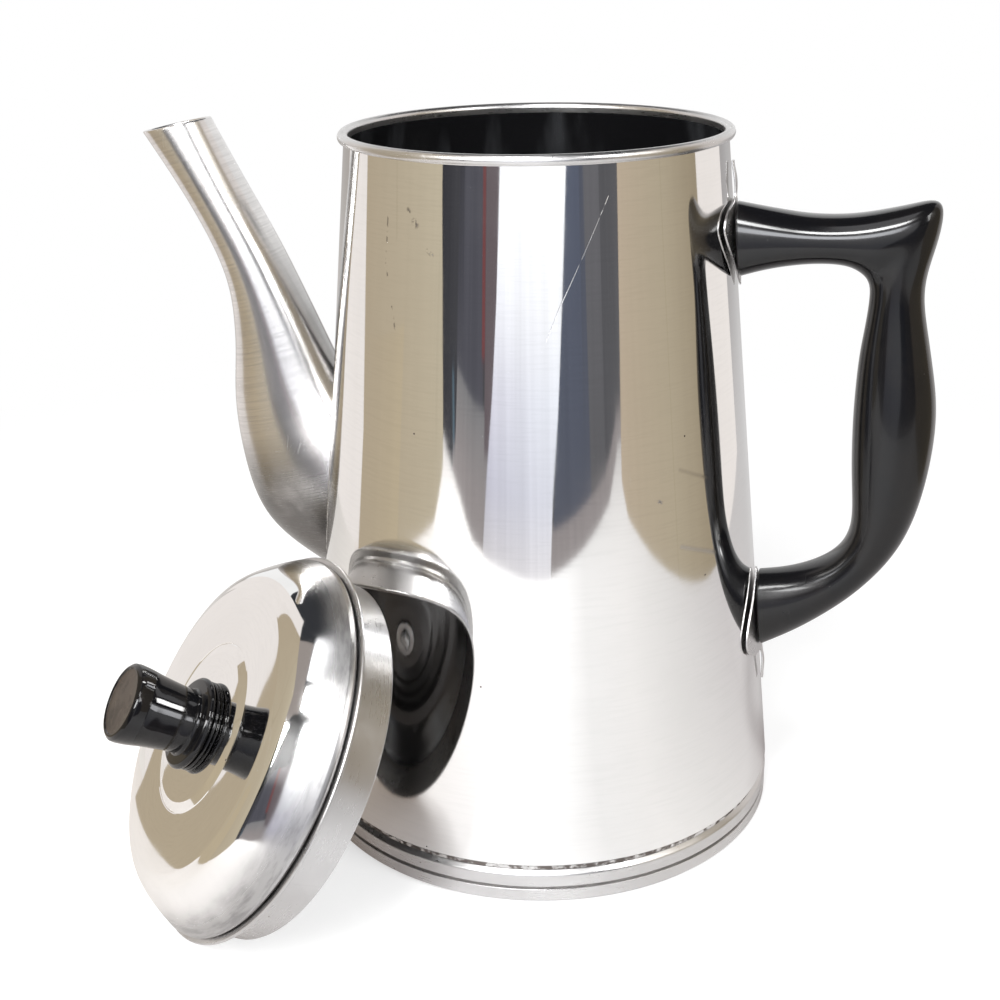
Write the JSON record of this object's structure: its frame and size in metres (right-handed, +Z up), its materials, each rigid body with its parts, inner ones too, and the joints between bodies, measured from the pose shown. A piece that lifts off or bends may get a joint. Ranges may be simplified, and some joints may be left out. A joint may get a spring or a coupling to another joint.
{
  "type": "coffee pot",
  "caption": "Tapering aluminium coffee pot with a swept spout, a black Bakelite handle on brackets and a domed lift-off lid with a black knob, lid taken off and leaning.",
  "frame": {"origin": "centre of the flat underside of the base, on the surface the pot stands on", "axes": "+Z up along the pot's axis, +X towards the handle, -X towards the spout; the lid leans against the -X -Y side"},
  "size_m": [0.2382, 0.207, 0.2107],
  "materials": {
    "polished_aluminium": "mirror-polished spun sheet with fine vertical brushing and a few scratches, dark lining inside",
    "satin_aluminium": "turned satin aluminium, worn smooth",
    "brushed_aluminium": "cast and hand-brushed aluminium, half polished",
    "black_bakelite": "moulded black phenolic, glossy, worn duller where it is held",
    "zinc_steel": "zinc-plated steel",
    "insert_brass": "turned brass"
  },
  "bodies": {
    "pot": {"body_shell": "polished_aluminium", "base_pan": "satin_aluminium", "spout": "brushed_aluminium", "handle": "black_bakelite", "handle_bracket_upper": "satin_aluminium", "handle_bracket_lower": "satin_aluminium", "handle_washer_upper": "zinc_steel", "handle_washer_lower": "zinc_steel", "handle_screw_upper": "zinc_steel", "handle_screw_lower": "zinc_steel", "handle_insert_upper": "insert_brass", "handle_insert_lower": "insert_brass"},
    "lid": {"lid_dome": "polished_aluminium", "lid_collar": "satin_aluminium", "knob_guard_ring": "black_bakelite", "knob": "black_bakelite", "knob_insert": "insert_brass", "knob_washer": "zinc_steel", "knob_screw": "zinc_steel"}
  },
  "joints": [
    {"name": "lid_lift", "type": "slide", "parent": "pot", "child": "lid", "axis": [-0.6641, -0.5245, 0.5329], "range_m": [0, 0.12]}
  ]
}
